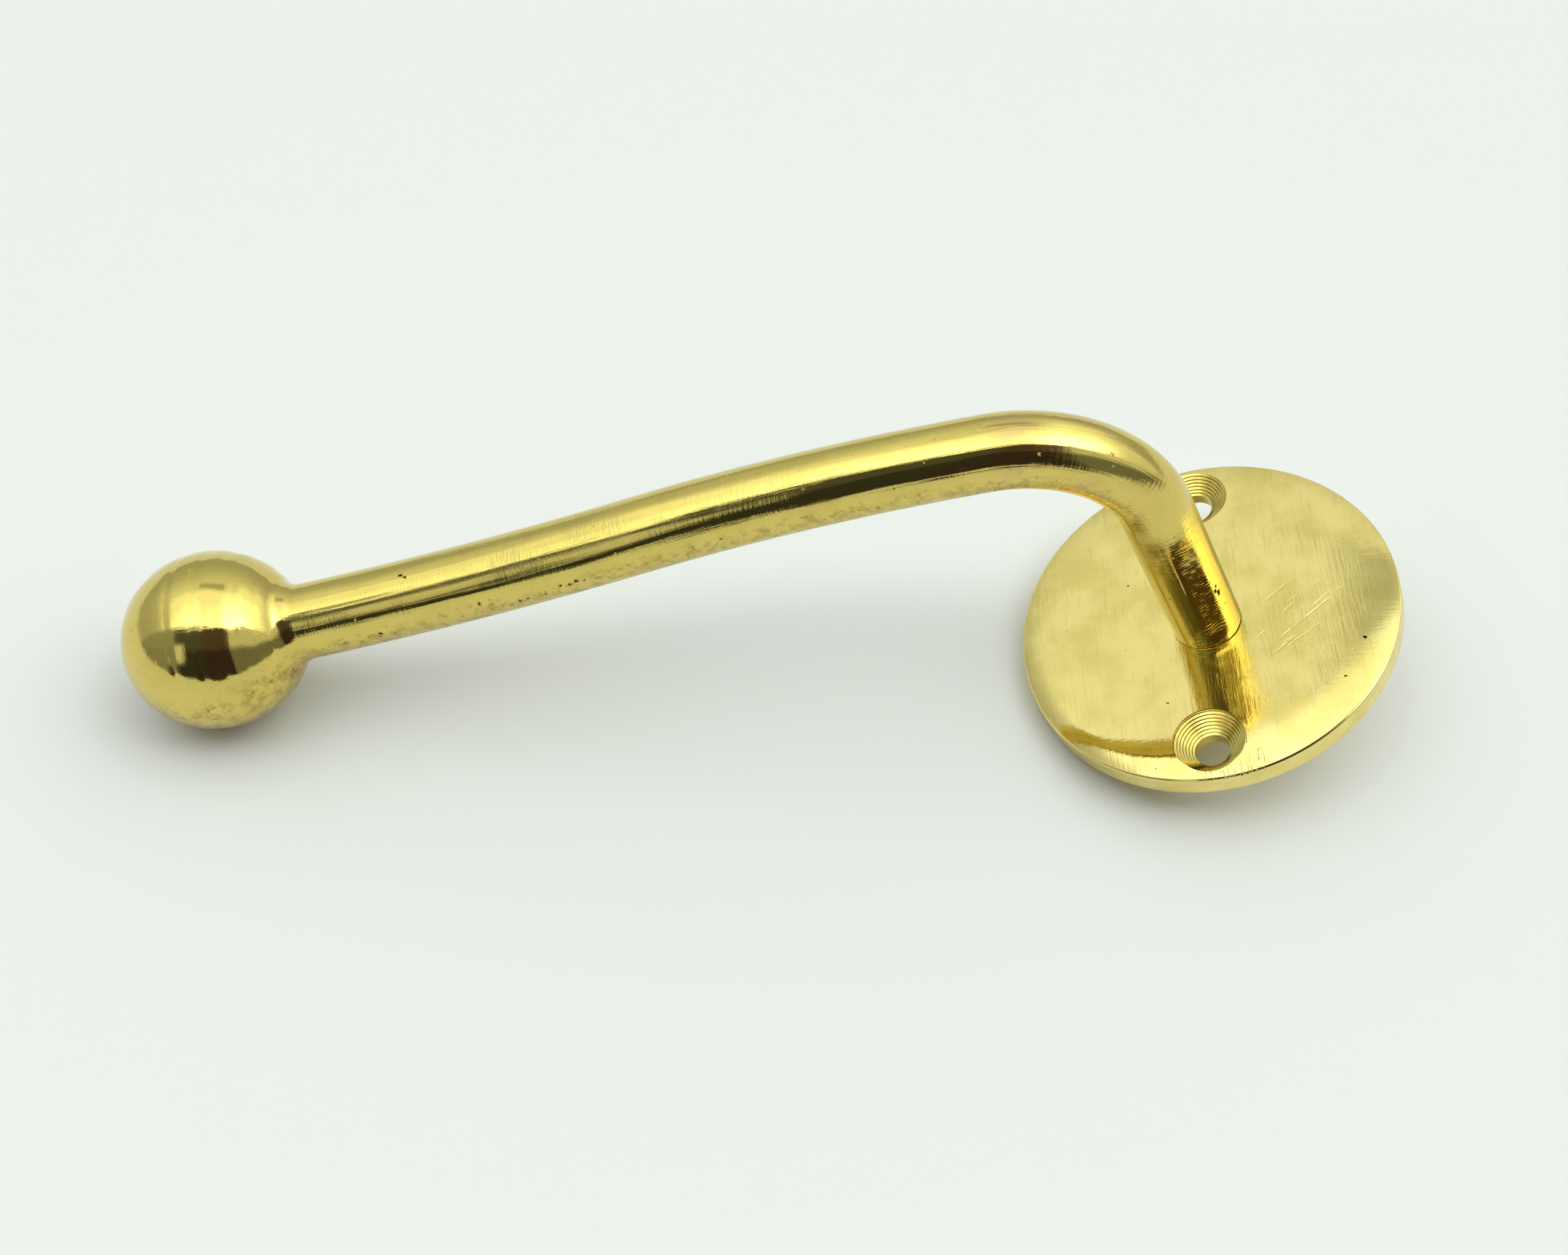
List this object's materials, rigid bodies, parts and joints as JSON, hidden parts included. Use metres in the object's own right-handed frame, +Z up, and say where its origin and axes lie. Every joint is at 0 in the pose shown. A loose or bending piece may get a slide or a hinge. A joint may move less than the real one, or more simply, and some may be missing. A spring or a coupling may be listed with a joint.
{
  "type": "curtain hold-back arm",
  "caption": "Ball-ended bent arm on a round rose, swivelling on a central screw; holds a drawn curtain or a hanging item against a wall.",
  "frame": {"origin": "on the table surface, below the middle of the bounding box, with the part lying as it comes to rest on its rose's edge and its ball", "axes": "+Z up from the table; +X from the ball towards the rose; the arm lies in a plane parallel to XZ, and the rose's face looks up, tilted 20 degrees towards -X"},
  "size_m": [0.1664, 0.05, 0.0512],
  "materials": {
    "polished_rose_brass": "polished, with fine brushing and scratches",
    "polished_cast_brass": "polished casting, with a filed parting line and small casting pits",
    "turned_screw_brass": "as turned, slightly dull"
  },
  "bodies": {
    "rose_body": {"rose": "polished_rose_brass"},
    "arm_body": {"ball_arm": "polished_cast_brass", "joining_screw": "turned_screw_brass"}
  },
  "joints": [
    {"name": "arm_swivel", "type": "hinge", "parent": "rose_body", "child": "arm_body", "pos_m": [0.05845, -0.0011, 0.01224], "axis": [-0.3407, 0, 0.9402], "continuous": true}
  ]
}
